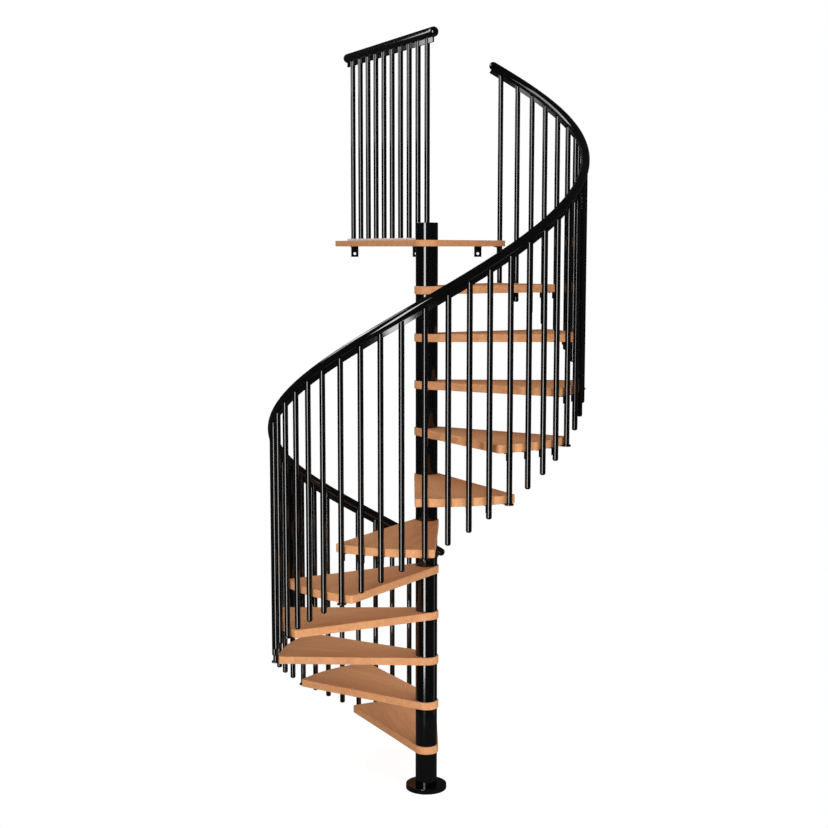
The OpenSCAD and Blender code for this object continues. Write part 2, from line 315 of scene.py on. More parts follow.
def brushed_metal(name, code, metallic, roughness):
    """Pale or dark metal with fine brush lines along its length"""
    material, tree = new_material(name)
    place = add(tree, "ShaderNodeTexCoord").outputs["Object"]
    # Brush lines are drawn 1 mm apart so that they show
    lines_at = add(tree, "ShaderNodeVectorMath", {0: place, 1: (60.0, 60.0, 1000.0)},
                   operation="MULTIPLY").outputs[0]
    lines = add(tree, "ShaderNodeTexNoise", {"Vector": lines_at, "Scale": 1.0, "Detail": 2.0}).outputs[0]
    sheen = add(tree, "ShaderNodeMapRange", {"Value": lines, "To Min": roughness * 0.8,
                                             "To Max": roughness * 1.2}).outputs[0]
    surface = add(tree, "ShaderNodeBsdfPrincipled", {"Base Color": tint(code), "Roughness": sheen,
                                                     "Metallic": metallic})
    add(tree, "ShaderNodeOutputMaterial", {"Surface": surface.outputs[0]})
    return material


oak = lacquered_oak()
painted_steel = black_coat("steel_black_gloss_paint", roughness=0.08)
satin_steel = black_coat("steel_black_satin_paint", roughness=0.18)
rail_plastic = black_coat("pvc_black_gloss", roughness=0.08)
# The strip looks white, which a mirror of dark surroundings can't, so it has no metallic share
strip_metal = brushed_metal("aluminium_satin_anodised", "#F0F0EE", metallic=0.0, roughness=0.42)
screw_metal = brushed_metal("steel_black_zinc", "#2A2A2C", metallic=1.0, roughness=0.38)


# Node trees that make what repeats or follows a path


def new_tree(name, sockets):
    """Geometry tree with named inputs, and the outlets of its input node"""
    tree = bpy.data.node_groups.new(name, "GeometryNodeTree")
    for label, kind in [("Geometry", "NodeSocketGeometry"), *sockets, ("Material", "NodeSocketMaterial")]:
        tree.interface.new_socket(label, in_out="INPUT", socket_type=kind)
    tree.interface.new_socket("Geometry", in_out="OUTPUT", socket_type="NodeSocketGeometry")
    return tree, add(tree, "NodeGroupInput").outputs


def end_tree(tree, geometry, given):
    """Tree ended with real copies that carry the given material"""
    whole = add(tree, "GeometryNodeRealizeInstances", {0: geometry}).outputs[0]
    coated = add(tree, "GeometryNodeSetMaterial", {0: whole, "Material": given["Material"]}).outputs[0]
    add(tree, "NodeGroupOutput", {0: coated})
    return tree


def sweep_tree():
    """A closed section carried along a path, kept upright"""
    tree, given = new_tree("section_along_path", [("Section", "NodeSocketObject")])
    path = add(tree, "GeometryNodeMeshToCurve", {0: given["Geometry"]}).outputs[0]
    upright = add(tree, "GeometryNodeSetCurveNormal", {0: path}, mode="Z_UP").outputs[0]
    drawn = add(tree, "GeometryNodeObjectInfo", {"Object": given["Section"]}).outputs["Geometry"]
    section = add(tree, "GeometryNodeMeshToCurve", {0: drawn}).outputs[0]
    swept = add(tree, "GeometryNodeCurveToMesh", {"Curve": upright, "Profile Curve": section,
                                                  "Fill Caps": True})
    return end_tree(tree, swept.outputs[0], given)


def bar_tree():
    """Round bars on upright lines: rounded where the line's swell falls below 1, and cut on a slant
    where its cut is 1"""
    tree, given = new_tree("bars_on_lines", [("Radius", "NodeSocketFloat"), ("Sides", "NodeSocketInt")])
    named = {label: add(tree, "GeometryNodeInputNamedAttribute", {"Name": label}, data_type=kind).outputs[0]
             for label, kind in (("swell", "FLOAT"), ("cut", "FLOAT"), ("axis", "FLOAT_VECTOR"),
                                 ("lean", "FLOAT_VECTOR"))}
    lines = add(tree, "GeometryNodeMeshToCurve", {0: given["Geometry"]}).outputs[0]
    section = add(tree, "GeometryNodeCurvePrimitiveCircle", {"Resolution": given["Sides"],
                                                             "Radius": given["Radius"]})
    bars = add(tree, "GeometryNodeCurveToMesh", {"Curve": lines, "Profile Curve": section.outputs[0],
                                                 "Scale": named["swell"], "Fill Caps": True}).outputs[0]
    here = add(tree, "GeometryNodeInputPosition").outputs[0]
    off = add(tree, "ShaderNodeVectorMath", {0: here, 1: named["axis"]}, operation="SUBTRACT").outputs[0]
    climb = add(tree, "ShaderNodeVectorMath", {0: off, 1: named["lean"]},
                operation="DOT_PRODUCT").outputs["Value"]
    lift = add(tree, "ShaderNodeMath", {0: climb, 1: named["cut"]}, operation="MULTIPLY").outputs[0]
    up = add(tree, "ShaderNodeCombineXYZ", {"Z": lift}).outputs[0]
    slanted = add(tree, "GeometryNodeSetPosition", {0: bars, "Offset": up}).outputs[0]
    return end_tree(tree, slanted, given)


def copy_tree():
    """Copies of one fitting on points, each turned as its point says"""
    tree, given = new_tree("fittings_on_points", [("Fitting", "NodeSocketObject")])
    turn = add(tree, "GeometryNodeInputNamedAttribute", {"Name": "turn"},
               data_type="FLOAT_VECTOR").outputs[0]
    facing = add(tree, "FunctionNodeEulerToRotation", {0: turn}).outputs[0]
    fitting = add(tree, "GeometryNodeObjectInfo", {"Object": given["Fitting"], "As Instance": True})
    placed = add(tree, "GeometryNodeInstanceOnPoints", {"Points": given["Geometry"],
                                                        "Instance": fitting.outputs["Geometry"],
                                                        "Rotation": facing})
    return end_tree(tree, placed.outputs[0], given)


def plain_mesh(name, points, edges=(), faces=()):
    """Mesh of points in space or in the plane z = 0"""
    mesh = bpy.data.meshes.new(name)
    mesh.from_pydata([tuple(p) if len(p) == 3 else (*p, 0.0) for p in points], list(edges), list(faces))
    return mesh


def loose(mesh):
    """Object that only helps to make a piece"""
    helper = bpy.data.objects.new(mesh.name, mesh)
    bpy.context.collection.objects.link(helper)
    return helper


def settled(helper, *others):
    """Plain mesh of an object with its modifiers worked in; the helpers go"""
    graph = bpy.context.evaluated_depsgraph_get()
    mesh = bpy.data.meshes.new_from_object(helper.evaluated_get(graph), depsgraph=graph)
    for gone in (helper, *others):
        bpy.data.objects.remove(gone)
    return mesh


def grown(tree, seed, material, others=(), **values):
    """Mesh that a node tree makes from a seed mesh and its named inputs"""
    helper = loose(seed)
    maker = helper.modifiers.new("maker", "NODES")
    maker.node_group = tree
    for item in tree.interface.items_tree:
        if item.in_out == "INPUT" and item.name in values:
            maker[item.identifier] = values[item.name]
        if item.in_out == "INPUT" and item.name == "Material":
            maker[item.identifier] = material
    return settled(helper, *others)


def store(mesh, label, kind, values):
    """Writes one value to each point of a mesh"""
    layer = mesh.attributes.new(label, kind, "POINT")
    if kind == "FLOAT":
        layer.data.foreach_set("value", values)
    else:
        layer.data.foreach_set("vector", [c for v in values for c in v])


SWEEP, BARS, COPIES = sweep_tree(), bar_tree(), copy_tree()


def swept(name, path, section, material):
    """Section points (u outwards, v up) carried along a path"""
    seed = plain_mesh(name, path, [(i, i + 1) for i in range(len(path) - 1)])
    ring = [(u, -v) for u, v in section]
    ring_edges = [(i, (i + 1) % len(ring)) for i in range(len(ring))]
    outline = loose(plain_mesh(name + "_section", ring, ring_edges))
    return grown(SWEEP, seed, material, (outline,), Section=outline)


def bars(name, lines, material):
    """Round bars from lines of (foot, lean, [(height, swell, cut)])"""
    points, edges, swell, cut, axis, lean = [], [], [], [], [], []
    for foot, slant, steps in lines:
        first = len(points)
        edges += [(first + i, first + i + 1) for i in range(len(steps) - 1)]
        for z, s, c in steps:
            points.append((foot[0], foot[1], z))
            swell.append(s)
            cut.append(c)
            axis.append((foot[0], foot[1], 0.0))
            lean.append((slant[0], slant[1], 0.0))
    seed = plain_mesh(name, points, edges)
    store(seed, "swell", "FLOAT", swell)
    store(seed, "cut", "FLOAT", cut)
    store(seed, "axis", "FLOAT_VECTOR", axis)
    store(seed, "lean", "FLOAT_VECTOR", lean)
    return grown(BARS, seed, material, Radius=BAR_R, Sides=BAR_SIDES)


def copies(name, fitting, places, material):
    """Copies of a fitting's mesh at places of (point, turn in degrees about x, y and z)"""
    seed = plain_mesh(name, [p for p, _ in places])
    store(seed, "turn", "FLOAT_VECTOR", [[math.radians(d) for d in t] for _, t in places])
    source = loose(fitting)
    return grown(COPIES, seed, material, (source,), Fitting=source)


# Shapes


def turned(name, profile, sides, ring=False):
    """Profile of (radius, height) turned about the z axis; a ring's profile closes on itself"""
    points, rows, faces = [], [], []
    for r, z in profile:
        if r < 1e-7:
            rows.append([len(points)] * sides)
            points.append((0.0, 0.0, z))
        else:
            rows.append(list(range(len(points), len(points) + sides)))
            points += [(*polar(r, 360 * i / sides), z) for i in range(sides)]
    for low, high in zip(rows, rows[1:] + (rows[:1] if ring else [])):
        for i in range(sides):
            j = (i + 1) % sides
            face = list(dict.fromkeys((low[i], low[j], high[j], high[i])))
            if len(face) > 2:
                faces.append(face)
    return plain_mesh(name, points, (), faces)


def rounded(r, z, size, start, end, steps=EASE_STEPS):
    """Corner of a profile rounded about (r, z)"""
    return [(p[0], p[1]) for p in arc((r, z), size, start, end, steps)]


def prism(name, outline, width, ease):
    """Outline in the x-z plane drawn out along y, its edges eased"""
    n = len(outline)
    points = [(x, -width / 2, z) for x, z in outline] + [(x, width / 2, z) for x, z in outline]
    faces = [list(range(n)), list(range(2 * n - 1, n - 1, -1))]
    faces += [[i, n + i, n + (i + 1) % n, (i + 1) % n] for i in range(n)]
    helper = loose(plain_mesh(name, points, (), faces))
    bevel = helper.modifiers.new("eased", "BEVEL")
    bevel.width, bevel.segments, bevel.limit_method = ease, 2, "ANGLE"
    bevel.angle_limit = math.radians(50)
    return settled(helper)


def sound(mesh):
    """Mesh with doubles merged and every face looking outwards"""
    shape = bmesh.new()
    shape.from_mesh(mesh)
    bmesh.ops.remove_doubles(shape, verts=shape.verts, dist=1e-6)
    bmesh.ops.recalc_face_normals(shape, faces=shape.faces)
    shape.to_mesh(mesh)
    shape.free()
    return mesh


def cut_away(mesh, cutter):
    """Mesh with a cutter's shape taken out of it"""
    tool = loose(sound(cutter))
    helper = loose(sound(mesh))
    cut = helper.modifiers.new("cut", "BOOLEAN")
    cut.object, cut.operation, cut.solver = tool, "DIFFERENCE", "EXACT"
    return settled(helper, tool)


def joined(name, *parts):
    """One mesh of several, each given with the matrix that places it"""
    whole = bmesh.new()
    for mesh, place in parts:
        start = len(whole.verts)
        whole.from_mesh(mesh)
        whole.verts.ensure_lookup_table()
        bmesh.ops.transform(whole, matrix=place, verts=whole.verts[start:])
    mesh = bpy.data.meshes.new(name)
    whole.to_mesh(mesh)
    whole.free()
    return mesh


def angle_outline(leg, drop, thick, bend):
    """Outline of a folded steel angle whose outer faces lie on x = 0 and z = 0"""
    outer = arc((-bend, -bend), bend, 90, 0, EASE_STEPS)
    inner = arc((-bend, -bend), bend - thick, 0, 90, EASE_STEPS)
    return ([(-leg, 0.0)] + [tuple(p) for p in outer] + [(0.0, -drop), (-thick, -drop)]
            + [tuple(p) for p in inner] + [(-leg, -thick)])


def board(name, outline, low, thick, split, place, grain):
    """Oak board with rounded edges and a bore for the pole. outline(inset) gives its plan, split the
    two plan points joined to the bore, place its position, grain its staves' axes and start"""
    rings = []
    for i in range(EASE_STEPS + 1):
        a = math.radians(90 * i / EASE_STEPS)
        rings.append((EASE * (1 - math.sin(a)), low + thick - EASE * (1 - math.cos(a))))
    rings += [(inset, 2 * low + thick - z) for inset, z in reversed(rings)]
    points, rows = [], []
    for inset, z in rings:
        plan = outline(inset)
        rows.append(range(len(points), len(points) + len(plan)))
        points += [(p[0], p[1], z) for p in plan]
    n, sides = len(rows[0]), BORE_SIDES
    faces = [[up[i], down[i], down[(i + 1) % n], up[(i + 1) % n]]
             for up, down in zip(rows, rows[1:]) for i in range(n)]
    bore = []
    for z in (low + thick, low):
        bore.append(range(len(points), len(points) + sides))
        points += [(*polar(BORE_R, 360 * i / sides), z) for i in range(sides)]
    upper, lower = bore
    faces += [[upper[i], upper[(i + 1) % sides], lower[(i + 1) % sides], lower[i]] for i in range(sides)]
    for row, hole, flip in ((rows[0], upper, False), (rows[-1], lower, True)):
        nearest = [min(range(sides), key=lambda i: math.dist(points[hole[i]], points[row[s]]))
                   for s in split]
        for (a, b), (p, q) in ((split, nearest), (split[::-1], nearest[::-1])):
            edge = [row[(a + i) % n] for i in range((b - a) % n + 1)]
            back = [hole[(q - i) % sides] for i in range((q - p) % sides + 1)]
            faces.append((edge + back)[::-1] if flip else edge + back)
    mesh = plain_mesh(name, points, (), faces)
    (ax, ay), (bx, by), start = grain
    store(mesh, "stave", "FLOAT_VECTOR",
          [(x * ax + y * ay + start, x * bx + y * by + start * GRAIN_DRIFT, z - low) for x, y, z in points])
    mesh.transform(place)
    return mesh


def piece(mesh, material, slot, *nodes):
    """Finished piece that stands for the constructed nodes"""
    sound(mesh)
    mesh.materials.clear()
    mesh.materials.append(material)
    mesh.polygons.foreach_set("use_smooth", [True] * len(mesh.polygons))
    mesh.set_sharp_from_angle(angle=math.radians(SHARP_FOLD))
    name = mesh.name
    helper = loose(mesh)
    flat = helper.modifiers.new("flat", "WEIGHTED_NORMAL")
    flat.keep_sharp, flat.weight = True, 80
    mesh = settled(helper)
    done = bpy.data.objects.new(name, mesh)
    bpy.context.collection.objects.link(done)
    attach(done, "root")
    if nodes:
        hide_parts(*nodes)
    return done


# Column

flange = turned("flange_disc", [(0, 0), (FLANGE_R - FLANGE_EASE, 0), (FLANGE_R, FLANGE_EASE)]
                + rounded(FLANGE_R - FLANGE_BEVEL, FLANGE_T - FLANGE_BEVEL, FLANGE_BEVEL, 0, 90)
                + [(BORE_R, FLANGE_T), (BORE_R, SOCKET_FLOOR), (0, SOCKET_FLOOR)], COLUMN_SIDES)
piece(flange, painted_steel, "black_paint", "base_flange")


def spacer(name, height):
    """Tube of the column with eased ends, standing on z = 0"""
    edge = COLUMN_R - STEEL_EASE
    return turned(name, [(TUBE_IN, 0), (edge, 0), (COLUMN_R, STEEL_EASE), (COLUMN_R, height - STEEL_EASE),
                         (edge, height), (TUBE_IN, height)], COLUMN_SIDES, ring=True)


spacer_h = RISE - TREAD_T
stack = copies("spacer_stack", spacer("spacer", spacer_h),
               [((0, 0, RISE * i), (0, 0, 0)) for i in range(1, TREADS + 1)], painted_steel)
first = spacer("first_spacer", spacer_h - FLANGE_T)
piece(joined("column_tubes", (stack, Matrix()), (first, Matrix.Translation((0, 0, FLANGE_T)))),
      painted_steel, "black_paint", "column_spacers")

post = turned("column_cap_post", [(TUBE_IN, 0), (COLUMN_R - STEEL_EASE, 0), (COLUMN_R, STEEL_EASE)]
              + rounded(COLUMN_R - RIM_ROUND, POST_H - RIM_ROUND, RIM_ROUND, 0, 90)
              + [(0, POST_H), (0, POST_H - POST_TOP), (TUBE_IN, POST_H - POST_TOP)],
              COLUMN_SIDES, ring=True)
post.transform(Matrix.Translation((0, 0, LANDING_TOP)))
piece(post, painted_steel, "black_paint", "column_post")

# The pole inside the column shows as it was constructed, in the same paint
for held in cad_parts["centre_pole"].material_slots:
    held.material = painted_steel

# Treads and landing


def tread_plan(inset):
    """Plan of a tread that points along x, drawn in by an inset"""
    reach, ca = CORNER_REACH, CORNER_ANGLE
    return (arc((0, 0), TREAD_R - inset, -ca, ca, ARC_STEPS)
            + arc(polar(reach, ca), CORNER_R - inset, ca, SIDE_NORMAL, CORNER_STEPS)[1:]
            + arc((0, 0), HUB_R - inset, SIDE_NORMAL, 360 - SIDE_NORMAL, ARC_STEPS)
            + arc(polar(reach, -ca), CORNER_R - inset, -SIDE_NORMAL, -ca, CORNER_STEPS)[:-1])


def landing_plan(inset):
    """Plan of the landing, drawn in by an inset: the hub's round, the first side and the curve of one
    more tread, then the straight right and back edges and the slanted left one"""
    turn = END_ANGLE + TURN / 2
    corner = turn - CORNER_ANGLE
    right, back = LANDING_RIGHT - inset, LANDING_DEPTH - inset
    curve_end = 360 + math.degrees(math.acos(right / (TREAD_R - inset)))
    normal = LANDING_ANGLE + 90
    meet = normal - math.degrees(math.acos((LANDING_LEFT - inset) / (HUB_R - inset)))
    left = (LANDING_LEFT - inset - back * math.sin(math.radians(normal))) / math.cos(math.radians(normal))
    return (arc((0, 0), HUB_R - inset, meet, turn - SIDE_NORMAL, ARC_STEPS)
            + arc(polar(CORNER_REACH, corner), CORNER_R - inset, turn - SIDE_NORMAL, corner, CORNER_STEPS)
            + arc((0, 0), TREAD_R - inset, corner, curve_end, CORNER_STEPS)[1:]
            + [Vector((right, back)), Vector((left, back))])


tread_split = (ARC_STEPS // 2, ARC_STEPS + 1 + CORNER_STEPS + ARC_STEPS // 2)
for i in range(1, TREADS + 1):
    heading = START + TURN * (i - 0.5)
    tread = board(f"oak_tread_{i:02d}", tread_plan, RISE * i - TREAD_T, TREAD_T, tread_split,
                  Matrix.Rotation(math.radians(heading), 4, "Z"), ((1, 0), (0, 1), TREAD_GRAIN * i))
    piece(tread, oak, "oak", f"tread_{i:02d}")

landing_split = (ARC_STEPS // 2, len(landing_plan(0)) - 2)
landing = board("oak_landing", landing_plan, LANDING_Z, LANDING_T, landing_split,
                Matrix(), ((0, 1), (-1, 0), LANDING_GRAIN))
piece(landing, oak, "oak", "landing")

bracket = prism("bracket", angle_outline(BRACKET_LEG, BRACKET_DROP, BRACKET_T, BRACKET_T + BRACKET_BEND),
                BRACKET_W, STEEL_EASE)
drill_end = 4 * BRACKET_T
drill = turned("drill", [(0, -drill_end), (HOLE_R, -drill_end), (HOLE_R, drill_end), (0, drill_end)],
               HOLE_SIDES)
drill.transform(Matrix.Translation((0, 0, HOLE_END - BRACKET_DROP)) @ Matrix.Rotation(math.pi / 2, 4, "Y"))
bracket = cut_away(bracket, drill)
bracket_at = [(BRACKET_MIDDLE + BRACKET_PITCH * s, LANDING_DEPTH, LANDING_Z) for s in (-1, 0, 1)]
piece(copies("wall_brackets", bracket, [(p, (0, 0, 90)) for p in bracket_at], painted_steel),
      painted_steel, "black_paint", "landing_brackets")

# Spiral balustrade


def bar_angle(k):
    """Direction of baluster k: the first of a tread stands between two treads, the others on it"""
    i, q = divmod(k, PER_TREAD)
    return START + TURN * i + (0 if q == 0 else TURN / 2 + (q - 2) * BAR_TURN)


def pitch_z(a):
    """Height of the climb in direction a"""
    return RISE * (a - START) / TURN


def bar_line(k):
    """Line of baluster k, rounded at a free lower end and cut along the handrail at the top"""
    a = bar_angle(k)
    top = pitch_z(a) + RAIL_H - (RAIL_R + CLEAR) / math.cos(SLOPE)
    standing = k % PER_TREAD == 0
    low = FOOT_T if k == 0 else pitch_z(a) - TREAD_T + (COLLAR_H if standing else 0)
    steps = [(low, 1.0, 0.0)]
    if not standing:
        steps = [(low + z, r / BAR_R, 0.0)
                 for r, z in rounded(BAR_R - BAR_BEVEL, BAR_BEVEL, BAR_BEVEL, -90, 0, BAR_END_STEPS)]
    return polar(BAR_CIRCLE, a), polar(math.tan(SLOPE), a + 90), steps + [(top, 1.0, 1.0)]


for i in range(1, TREADS + 1):
    group = bars(f"baluster_bars_{i:02d}", [bar_line(PER_TREAD * (i - 1) + q) for q in range(PER_TREAD)],
                 painted_steel)
    piece(group, painted_steel, "black_paint", f"balusters_{i:02d}")
last = PER_TREAD * TREADS
piece(bars("end_baluster_bar", [bar_line(last)], painted_steel),
      painted_steel, "black_paint", "end_baluster")


def under_tread(k):
    """Height of the underside that holds baluster k's clip"""
    i = k // PER_TREAD + 1
    return LANDING_Z if i > TREADS else RISE * i - TREAD_T


def on_circle(a, inward, z):
    """Point in direction a, inward from the balusters' circle"""
    return (*polar(BAR_CIRCLE - inward, a), z)


clip = prism("clip", angle_outline(CLIP_LEG, CLIP_DROP, CLIP_T, CLIP_T + CLIP_BEND), CLIP_W, FINE_EASE)
clip_face = BAR_R + CLEAR
clips_at = [(on_circle(bar_angle(k), clip_face, under_tread(k)), (0, 0, bar_angle(k)))
            for k in range(last + 1)]
piece(copies("tread_clips", clip, clips_at, painted_steel), painted_steel, "black_paint", "baluster_clips")

# A foot is a tongue under the tread with a collar for the bar, the collar cut off at the tread's edge
neck = math.degrees(math.asin(FOOT_W / 2 / COLLAR_R))
foot_plan = arc((0, 0), COLLAR_R, neck - 180, 180 - neck, FOOT_STEPS)
for side in (1, -1):
    corner = (TONGUE_ROUND - FOOT_TONGUE, side * (FOOT_W / 2 - TONGUE_ROUND))
    foot_plan += arc(corner, TONGUE_ROUND, 135 - 45 * side, 225 - 45 * side, EASE_STEPS)
plate = prism("foot_plate", [tuple(p) for p in foot_plan], FOOT_T, PLATE_EASE)
plate.transform(Matrix.Translation((0, 0, -FOOT_T / 2)) @ Matrix.Rotation(math.pi / 2, 4, "X"))
collar = turned("collar", [(0, 0), (COLLAR_R, 0), (COLLAR_R, COLLAR_RIM - FINE_EASE),
                           (COLLAR_R - FINE_EASE, COLLAR_RIM), (BAR_R + STEEL_EASE, COLLAR_H),
                           (0, COLLAR_H)], COLLAR_SIDES)
edge_r, edge_low, edge_high = TREAD_R + CLEAR, -0.010, 0.020
edge_of_tread = turned("edge_of_tread", [(0, edge_low), (edge_r, edge_low), (edge_r, edge_high),
                                         (0, edge_high)], TREAD_EDGE_SIDES)
edge_of_tread.transform(Matrix.Translation((-BAR_CIRCLE, 0, 0)))
foot = joined("foot", (plate, Matrix()), (cut_away(collar, edge_of_tread), Matrix()))
feet_at = [(bar_angle(k), pitch_z(bar_angle(k)) - TREAD_T) for k in range(PER_TREAD, last + 1, PER_TREAD)]
feet = copies("feet", foot, [(on_circle(a, 0, z), (0, 0, a)) for a, z in feet_at], painted_steel)
floor_foot = turned("floor_foot", [(0, 0), (FLOOR_FOOT_R - FINE_EASE, 0), (FLOOR_FOOT_R, FINE_EASE)]
                    + rounded(FLOOR_FOOT_R - RIM_ROUND, FOOT_T - RIM_ROUND, RIM_ROUND, 0, 90)
                    + [(0, FOOT_T)], FLOOR_FOOT_SIDES)
piece(joined("baluster_foot_plates", (feet, Matrix()),
             (floor_foot, Matrix.Translation(on_circle(START, 0, 0)))),
      painted_steel, "black_paint", "baluster_feet")


def rail_point(a):
    """Point of the spiral rail's axis in direction a"""
    return (*polar(BAR_CIRCLE, a), pitch_z(a) + RAIL_H)


def rail_way(a):
    """Direction in which the spiral rail climbs at a"""
    return Vector((*polar(math.cos(SLOPE), a + 90), math.sin(SLOPE)))


def round_section(r, groove_top):
    """Round rail with a groove in its underside for the band"""
    half = BAND_T / 2 + CLEAR
    lip = math.degrees(math.asin(half / r))
    skin = [tuple(p) for p in arc((0, 0), r, lip - 90, 270 - lip, RAIL_SIDES)]
    return skin + [(-half, groove_top), (half, groove_top)]


def band_section(bottom, top):
    """Flat bar on edge with eased lower corners"""
    half, ease = BAND_T / 2, STEEL_EASE
    return [(half - ease, bottom), (half, bottom + ease), (half, top), (-half, top),
            (-half, bottom + ease), (ease - half, bottom)]


def dome(name, r):
    """Half-round end cap, its flat side on z = 0"""
    rim = [(0, 0), (r - PLATE_EASE, 0), (r, PLATE_EASE)]
    return turned(name, rim + rounded(0, 0, r, 4, 90, CAP_STEPS), RAIL_SIDES)


def cap_place(point, direction):
    """Place of a cap at a rail's end, turned along the rail"""
    return Matrix.Translation(point) @ Vector(direction).to_track_quat("Z", "Y").to_matrix().to_4x4()


helix = [rail_point(RAIL_FROM + (RAIL_TO - RAIL_FROM) * i / RAIL_STEPS) for i in range(RAIL_STEPS + 1)]
piece(swept("helix_handrail", helix, round_section(RAIL_R, BAND_IN - RAIL_R), rail_plastic),
      rail_plastic, "black_rail", "handrail")
piece(swept("helix_band", helix, band_section(-RAIL_R - BAND_SHOW, BAND_IN - RAIL_R - CLEAR), satin_steel),
      satin_steel, "black_paint", "handrail_band")
piece(joined("helix_handrail_ends",
             (dome("lower_end", RAIL_R), cap_place(helix[0], -rail_way(RAIL_FROM))),
             (dome("upper_end", RAIL_R), cap_place(helix[-1], rail_way(RAIL_TO)))),
      rail_plastic, "black_rail", "handrail_caps")

# Landing balustrade

row_way = Vector((*polar(1, LANDING_ANGLE), 0))
row_side = Vector((*polar(ROW_IN, LANDING_ANGLE - 90), 0))
row_end = ROW_START + ROW_PITCH * (ROW_BARS - 1)


def on_row(along, z):
    """Point over the row's line"""
    return row_way * along + row_side + Vector((0, 0, z))


strip_l = row_end - ROW_START + STRIP_RUN + STRIP_RUN_FAR
strip = prism("strip", [(0, 0), (strip_l, 0), (strip_l, STRIP_T), (0, STRIP_T)], STRIP_W, STRIP_EASE)
strip.transform(Matrix.Translation(on_row(ROW_START - STRIP_RUN, LANDING_TOP))
                @ Matrix.Rotation(math.radians(LANDING_ANGLE), 4, "Z"))
strip.name = "row_base_strip"
piece(strip, strip_metal, "pale_strip", "landing_strip")

strip_top = LANDING_TOP + STRIP_T
row_rail_z = LANDING_TOP + ROW_RAIL_H
row_top = row_rail_z - ROW_RAIL_R - CLEAR
row_lines = [(on_row(ROW_START + ROW_PITCH * i, 0), (0, 0), [(strip_top, 1.0, 0.0), (row_top, 1.0, 0.0)])
             for i in range(ROW_BARS)]
piece(bars("row_bars", row_lines, painted_steel), painted_steel, "black_paint", "landing_balusters")

row_ends = [on_row(ROW_START - ROW_RAIL_RUN, row_rail_z), on_row(row_end + ROW_RAIL_RUN, row_rail_z)]
piece(swept("row_handrail", row_ends, round_section(ROW_RAIL_R, BAND_IN - ROW_RAIL_R), rail_plastic),
      rail_plastic, "black_rail", "landing_handrail")
piece(swept("row_band", row_ends, band_section(-ROW_RAIL_R - ROW_BAND_SHOW, BAND_IN - ROW_RAIL_R - CLEAR),
            painted_steel), painted_steel, "black_paint", "landing_band")
piece(joined("row_handrail_ends", (dome("near_end", ROW_RAIL_R), cap_place(row_ends[0], -row_way)),
             (dome("far_end", ROW_RAIL_R), cap_place(row_ends[1], row_way))),
      rail_plastic, "black_rail", "landing_handrail_caps")

# Screws, each a rounded head with a round socket, pointing along its own z

head = turned("screw_head", [(0.0045, 0), (0.0044, 0.0010), (0.0036, 0.0022), (0.0022, 0.0027),
                             (0.0016, 0.0026), (0.0016, 0.0012), (0, 0.0012)], SCREW_SIDES)
down = (180, 0, 0)
screws_at = [(on_circle(bar_angle(k), clip_face + CLIP_LEG - CLIP_SCREW_IN, under_tread(k) - CLIP_T), down)
             for k in range(last + 1)]
screws_at += [(on_circle(bar_angle(k), clip_face + CLIP_T, under_tread(k) - CLIP_SCREW_DOWN),
               (0, -90, bar_angle(k))) for k in range(last + 1)]
screws_at += [(on_circle(a, inward, z - FOOT_T), down) for a, z in feet_at for inward in FOOT_SCREWS_IN]
screws_at += [((x + s * BRACKET_SCREW_SIDE, y - BRACKET_SCREW_IN, z - BRACKET_T), down)
              for x, y, z in bracket_at for s in (-1, 1)]
piece(copies("fixing_screws", head, screws_at, screw_metal), screw_metal, "black_paint")

flush = turned("flush_head", [(0.0042, 0), (0.0040, 0.0003), (0.0018, 0.0003), (0.0018, -0.0008),
                              (0, -0.0008)], SCREW_SIDES)
flush_at = [(on_row(ROW_START + ROW_PITCH * (i + 0.5), strip_top), (0, 0, 0))
            for i in range(0, ROW_BARS - 1, 2)]
piece(copies("strip_screws", flush, flush_at, strip_metal), strip_metal, "pale_strip")

# Floor, surroundings, light and camera

FLOOR_R = 1.2
FLOOR_SIDES = 96
FLOOR_DROP = 0.0006
FADE_FROM = 0.75
FADE_TO = 1.15
FLOOR_GLOW = 0.78
FLOOR_IN_GLOSS = 0.06


